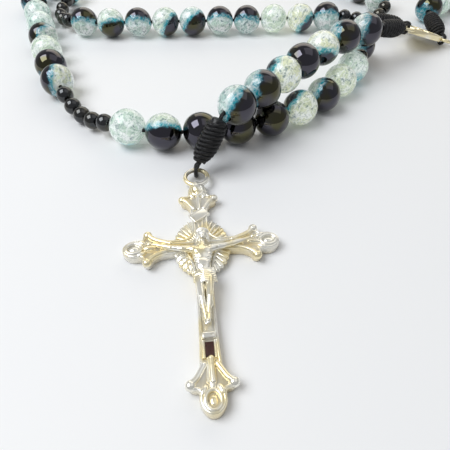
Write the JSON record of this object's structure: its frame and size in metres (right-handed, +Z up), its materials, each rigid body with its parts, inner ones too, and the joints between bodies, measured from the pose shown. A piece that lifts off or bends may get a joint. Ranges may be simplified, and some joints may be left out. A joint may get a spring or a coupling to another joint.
{
  "type": "rosary",
  "caption": "Cord rosary: round glass beads in decades parted by small beads, barrel knots, a centre medal and a pendant strand with a crucifix.",
  "frame": {"origin": "middle of the bounding box in X and Y, on the table plane under it", "axes": "+X to the viewer's right, +Y away from the viewer along the table, +Z up from the table"},
  "size_m": [0.1626, 0.193, 0.0155],
  "materials": {
    "glass_beads": "round crackled glass shading from clear to teal and near black, high gloss",
    "black_beads": "small black glass, high gloss",
    "cord": "black twisted nylon cord",
    "silver": "polished pale silver plating"
  },
  "bodies": {
    "front_bead_10": {"front_bead_10": "glass_beads"},
    "front_spacer_bead": {"front_spacer_bead": "black_beads"},
    "front_bead_9": {"front_bead_9": "glass_beads"},
    "front_bead_8": {"front_bead_8": "glass_beads"},
    "front_bead_7": {"front_bead_7": "glass_beads"},
    "front_bead_6": {"front_bead_6": "glass_beads"},
    "front_bead_5": {"front_bead_5": "glass_beads"},
    "front_bead_4": {"front_bead_4": "glass_beads"},
    "front_bead_3": {"front_bead_3": "glass_beads"},
    "front_bead_2": {"front_bead_2": "glass_beads"},
    "front_bead_1": {"front_bead_1": "glass_beads"},
    "loop_strand": {"spacer_beads_1": "black_beads", "spacer_beads_2": "black_beads", "spacer_beads_3": "black_beads", "fourth_decade_beads": "glass_beads", "spacer_beads_4": "black_beads", "fifth_decade_beads": "glass_beads", "loop_cord": "cord", "front_end_knot_core": "cord", "front_end_knot_winding": "cord", "back_end_knot_core": "cord", "back_end_knot_winding": "cord"},
    "left_bead_1": {"left_bead_1": "glass_beads"},
    "left_bead_2": {"left_bead_2": "glass_beads"},
    "left_bead_3": {"left_bead_3": "glass_beads"},
    "left_bead_4": {"left_bead_4": "glass_beads"},
    "left_bead_5": {"left_bead_5": "glass_beads"},
    "left_bead_6": {"left_bead_6": "glass_beads"},
    "left_bead_7": {"left_bead_7": "glass_beads"},
    "left_bead_8": {"left_bead_8": "glass_beads"},
    "left_bead_9": {"left_bead_9": "glass_beads"},
    "left_bead_10": {"left_bead_10": "glass_beads"},
    "back_bead_1": {"back_bead_1": "glass_beads"},
    "back_bead_2": {"back_bead_2": "glass_beads"},
    "back_bead_3": {"back_bead_3": "glass_beads"},
    "back_bead_4": {"back_bead_4": "glass_beads"},
    "back_bead_5": {"back_bead_5": "glass_beads"},
    "back_bead_6": {"back_bead_6": "glass_beads"},
    "back_bead_7": {"back_bead_7": "glass_beads"},
    "back_bead_8": {"back_bead_8": "glass_beads"},
    "back_bead_9": {"back_bead_9": "glass_beads"},
    "back_bead_10": {"back_bead_10": "glass_beads"},
    "pendant_bead_7": {"pendant_bead_7": "glass_beads"},
    "pendant_bead_6": {"pendant_bead_6": "glass_beads"},
    "pendant_bead_5": {"pendant_bead_5": "glass_beads"},
    "pendant_bead_4": {"pendant_bead_4": "glass_beads"},
    "pendant_bead_3": {"pendant_bead_3": "glass_beads"},
    "pendant_bead_2": {"pendant_bead_2": "glass_beads"},
    "pendant_bead_1": {"pendant_bead_1": "glass_beads"},
    "pendant_strand": {"pendant_cord": "cord", "medal_knot_core": "cord", "medal_knot_winding": "cord", "crucifix_knot_core": "cord", "crucifix_knot_winding": "cord"},
    "medal": {"medal": "silver"},
    "crucifix": {"cross": "silver", "figure": "silver"}
  },
  "joints": [
    {"name": "medal_hinge", "type": "hinge", "parent": "loop_strand", "child": "medal", "pos_m": [0.04654, 0.0141, 0.00197], "axis": [-0.7719, 0.633, 0.0593], "range_deg": [0, 40]},
    {"name": "pendant_hinge", "type": "hinge", "parent": "medal", "child": "pendant_strand", "pos_m": [0.03656, 0.00387, 0.00771], "axis": [-0.6712, 0.7413, 0], "range_deg": [0, 60]},
    {"name": "crucifix_hinge", "type": "hinge", "parent": "pendant_strand", "child": "crucifix", "pos_m": [-0.0189, -0.04808, 0.0018], "axis": [-0.9954, -0.0958, 0], "range_deg": [0, 60]},
    {"name": "front_bead_10_spin", "type": "hinge", "parent": "loop_strand", "child": "front_bead_10", "pos_m": [0.02436, 0.0012, 0.004], "axis": [-0.1141, -0.9935, 0], "continuous": true},
    {"name": "front_spacer_bead_spin", "type": "hinge", "parent": "loop_strand", "child": "front_spacer_bead", "pos_m": [0.02306, -0.00477, 0.004], "axis": [-0.3967, -0.918, 0], "continuous": true},
    {"name": "front_bead_9_spin", "type": "hinge", "parent": "loop_strand", "child": "front_bead_9", "pos_m": [0.02003, -0.01013, 0.004], "axis": [-0.5384, -0.8427, 0], "continuous": true},
    {"name": "front_bead_8_spin", "type": "hinge", "parent": "loop_strand", "child": "front_bead_8", "pos_m": [0.01561, -0.01698, 0.004], "axis": [-0.5449, -0.8385, 0], "continuous": true},
    {"name": "front_bead_7_spin", "type": "hinge", "parent": "loop_strand", "child": "front_bead_7", "pos_m": [0.01049, -0.02334, 0.004], "axis": [-0.7007, -0.7134, 0], "continuous": true},
    {"name": "front_bead_6_spin", "type": "hinge", "parent": "loop_strand", "child": "front_bead_6", "pos_m": [0.00438, -0.02872, 0.004], "axis": [-0.7975, -0.6034, 0], "continuous": true},
    {"name": "front_bead_5_spin", "type": "hinge", "parent": "loop_strand", "child": "front_bead_5", "pos_m": [-0.00255, -0.03302, 0.004], "axis": [-0.893, -0.45, 0], "continuous": true},
    {"name": "front_bead_4_spin", "type": "hinge", "parent": "loop_strand", "child": "front_bead_4", "pos_m": [-0.01011, -0.03602, 0.004], "axis": [-0.9583, -0.2858, 0], "continuous": true},
    {"name": "front_bead_3_spin", "type": "hinge", "parent": "loop_strand", "child": "front_bead_3", "pos_m": [-0.01806, -0.03769, 0.004], "axis": [-0.9924, -0.1228, 0], "continuous": true},
    {"name": "front_bead_2_spin", "type": "hinge", "parent": "loop_strand", "child": "front_bead_2", "pos_m": [-0.02622, -0.03797, 0.004], "axis": [-0.9987, 0.0518, 0], "continuous": true},
    {"name": "front_bead_1_spin", "type": "hinge", "parent": "loop_strand", "child": "front_bead_1", "pos_m": [-0.0342, -0.03632, 0.004], "axis": [-0.9386, 0.345, 0], "continuous": true},
    {"name": "left_bead_1_spin", "type": "hinge", "parent": "loop_strand", "child": "left_bead_1", "pos_m": [-0.05454, -0.01692, 0.004], "axis": [-0.4701, 0.8826, 0], "continuous": true},
    {"name": "left_bead_2_spin", "type": "hinge", "parent": "loop_strand", "child": "left_bead_2", "pos_m": [-0.0582, -0.00921, 0.004], "axis": [-0.3875, 0.9219, 0], "continuous": true},
    {"name": "left_bead_3_spin", "type": "hinge", "parent": "loop_strand", "child": "left_bead_3", "pos_m": [-0.06147, -0.00132, 0.004], "axis": [-0.3786, 0.9255, 0], "continuous": true},
    {"name": "left_bead_4_spin", "type": "hinge", "parent": "loop_strand", "child": "left_bead_4", "pos_m": [-0.06452, 0.00664, 0.004], "axis": [-0.3372, 0.9414, 0], "continuous": true},
    {"name": "left_bead_5_spin", "type": "hinge", "parent": "loop_strand", "child": "left_bead_5", "pos_m": [-0.06756, 0.01463, 0.004], "axis": [-0.3727, 0.928, 0], "continuous": true},
    {"name": "left_bead_6_spin", "type": "hinge", "parent": "loop_strand", "child": "left_bead_6", "pos_m": [-0.07065, 0.02257, 0.004], "axis": [-0.3534, 0.9355, 0], "continuous": true},
    {"name": "left_bead_7_spin", "type": "hinge", "parent": "loop_strand", "child": "left_bead_7", "pos_m": [-0.0741, 0.03037, 0.004], "axis": [-0.4538, 0.8911, 0], "continuous": true},
    {"name": "left_bead_8_spin", "type": "hinge", "parent": "loop_strand", "child": "left_bead_8", "pos_m": [-0.07728, 0.03859, 0.004], "axis": [-0.2719, 0.9623, 0], "continuous": true},
    {"name": "left_bead_9_spin", "type": "hinge", "parent": "loop_strand", "child": "left_bead_9", "pos_m": [-0.07215, 0.04623, 0.004], "axis": [0.8931, 0.45, 0], "continuous": true},
    {"name": "left_bead_10_spin", "type": "hinge", "parent": "loop_strand", "child": "left_bead_10", "pos_m": [-0.06564, 0.04077, 0.004], "axis": [0.3044, -0.9525, 0], "continuous": true},
    {"name": "back_bead_1_spin", "type": "hinge", "parent": "loop_strand", "child": "back_bead_1", "pos_m": [-0.05513, 0.01707, 0.004], "axis": [0.9639, -0.2663, 0], "continuous": true},
    {"name": "back_bead_2_spin", "type": "hinge", "parent": "loop_strand", "child": "back_bead_2", "pos_m": [-0.04703, 0.01627, 0.004], "axis": [0.9977, 0.068, 0], "continuous": true},
    {"name": "back_bead_3_spin", "type": "hinge", "parent": "loop_strand", "child": "back_bead_3", "pos_m": [-0.0389, 0.01674, 0.004], "axis": [0.9989, 0.0465, 0], "continuous": true},
    {"name": "back_bead_4_spin", "type": "hinge", "parent": "loop_strand", "child": "back_bead_4", "pos_m": [-0.03078, 0.01708, 0.004], "axis": [0.9993, 0.037, 0], "continuous": true},
    {"name": "back_bead_5_spin", "type": "hinge", "parent": "loop_strand", "child": "back_bead_5", "pos_m": [-0.02265, 0.01742, 0.004], "axis": [0.9988, 0.048, 0], "continuous": true},
    {"name": "back_bead_6_spin", "type": "hinge", "parent": "loop_strand", "child": "back_bead_6", "pos_m": [-0.01449, 0.0179, 0.004], "axis": [0.9976, 0.069, 0], "continuous": true},
    {"name": "back_bead_7_spin", "type": "hinge", "parent": "loop_strand", "child": "back_bead_7", "pos_m": [-0.00635, 0.01856, 0.004], "axis": [0.9958, 0.0915, 0], "continuous": true},
    {"name": "back_bead_8_spin", "type": "hinge", "parent": "loop_strand", "child": "back_bead_8", "pos_m": [0.00177, 0.01924, 0.004], "axis": [0.9971, 0.0758, 0], "continuous": true},
    {"name": "back_bead_9_spin", "type": "hinge", "parent": "loop_strand", "child": "back_bead_9", "pos_m": [0.0099, 0.01986, 0.004], "axis": [0.997, 0.0775, 0], "continuous": true},
    {"name": "back_bead_10_spin", "type": "hinge", "parent": "loop_strand", "child": "back_bead_10", "pos_m": [0.01796, 0.02098, 0.004], "axis": [0.9808, 0.195, 0], "continuous": true},
    {"name": "pendant_bead_7_spin", "type": "hinge", "parent": "pendant_strand", "child": "pendant_bead_7", "pos_m": [0.02302, -0.00489, 0.01128], "axis": [-0.8008, -0.5826, 0.1388], "continuous": true},
    {"name": "pendant_bead_6_spin", "type": "hinge", "parent": "pendant_strand", "child": "pendant_bead_6", "pos_m": [0.01645, -0.00966, 0.01166], "axis": [-0.8079, -0.5876, -0.0447], "continuous": true},
    {"name": "pendant_bead_5_spin", "type": "hinge", "parent": "pendant_strand", "child": "pendant_bead_5", "pos_m": [0.01033, -0.01499, 0.01135], "axis": [-0.6946, -0.7187, -0.0331], "continuous": true},
    {"name": "pendant_bead_4_spin", "type": "hinge", "parent": "pendant_strand", "child": "pendant_bead_4", "pos_m": [0.0049, -0.02103, 0.01124], "axis": [-0.6412, -0.7673, 0.0068], "continuous": true},
    {"name": "pendant_bead_3_spin", "type": "hinge", "parent": "pendant_strand", "child": "pendant_bead_3", "pos_m": [-0.00013, -0.02741, 0.01141], "axis": [-0.5964, -0.8019, 0.0356], "continuous": true},
    {"name": "pendant_bead_2_spin", "type": "hinge", "parent": "pendant_strand", "child": "pendant_bead_2", "pos_m": [-0.00513, -0.0338, 0.01166], "axis": [-0.6352, -0.772, 0.025], "continuous": true},
    {"name": "pendant_bead_1_spin", "type": "hinge", "parent": "pendant_strand", "child": "pendant_bead_1", "pos_m": [-0.01054, -0.03986, 0.01172], "axis": [-0.6953, -0.7186, -0.0099], "continuous": true}
  ]
}
